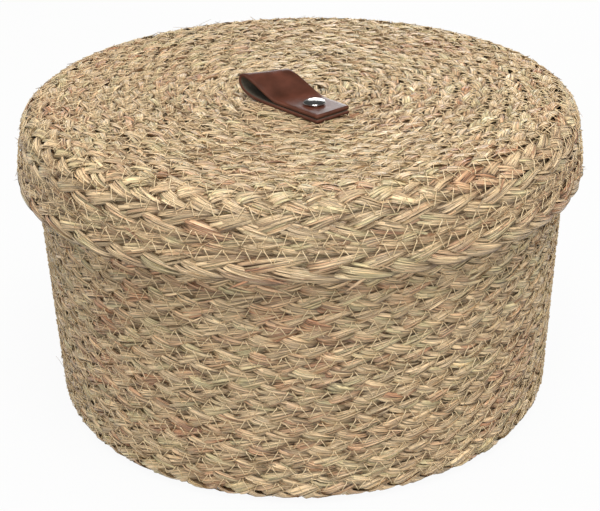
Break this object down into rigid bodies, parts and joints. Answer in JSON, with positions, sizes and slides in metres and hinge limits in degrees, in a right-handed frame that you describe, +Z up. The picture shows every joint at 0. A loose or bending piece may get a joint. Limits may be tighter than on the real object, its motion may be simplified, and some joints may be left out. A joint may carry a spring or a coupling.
{
  "type": "lidded basket",
  "caption": "Round coiled seagrass plait basket with a fitted lift-off lid and a folded leather pull held by a domed rivet.",
  "frame": {"origin": "middle of the basket's underside, on the surface that it stands on", "axes": "+Z up along the basket's axis; the leather pull lies along X with its riveted end towards +X and its loop towards -X"},
  "size_m": [0.25, 0.25, 0.1513],
  "materials": {
    "seagrass_plait": "dry plaited plant fibre sewn with pale thread",
    "leather": "smooth semi-gloss reddish brown",
    "nickel": "polished nickel plate"
  },
  "bodies": {
    "basket": {"basket_base": "seagrass_plait", "basket_wall": "seagrass_plait"},
    "lid": {"lid_top": "seagrass_plait", "lid_skirt": "seagrass_plait", "rivet_post": "nickel", "rivet_cap": "nickel"},
    "strap_tail": {"strap_lower_tail": "leather", "strap_upper_tail": "leather"},
    "strap_loop": {"strap_loop": "leather"}
  },
  "joints": [
    {"name": "lid_lift", "type": "slide", "parent": "basket", "child": "lid", "axis": [0, 0, 1], "range_m": [0, 0.12]},
    {"name": "strap_swivel", "type": "hinge", "parent": "lid", "child": "strap_tail", "pos_m": [0.0278, -0.0158, 0.1403], "axis": [0, 0, 1], "continuous": true},
    {"name": "strap_lift", "type": "hinge", "parent": "strap_tail", "child": "strap_loop", "pos_m": [0.0133, -0.0158, 0.144], "axis": [0, 1, 0], "range_deg": [0, 70]}
  ]
}
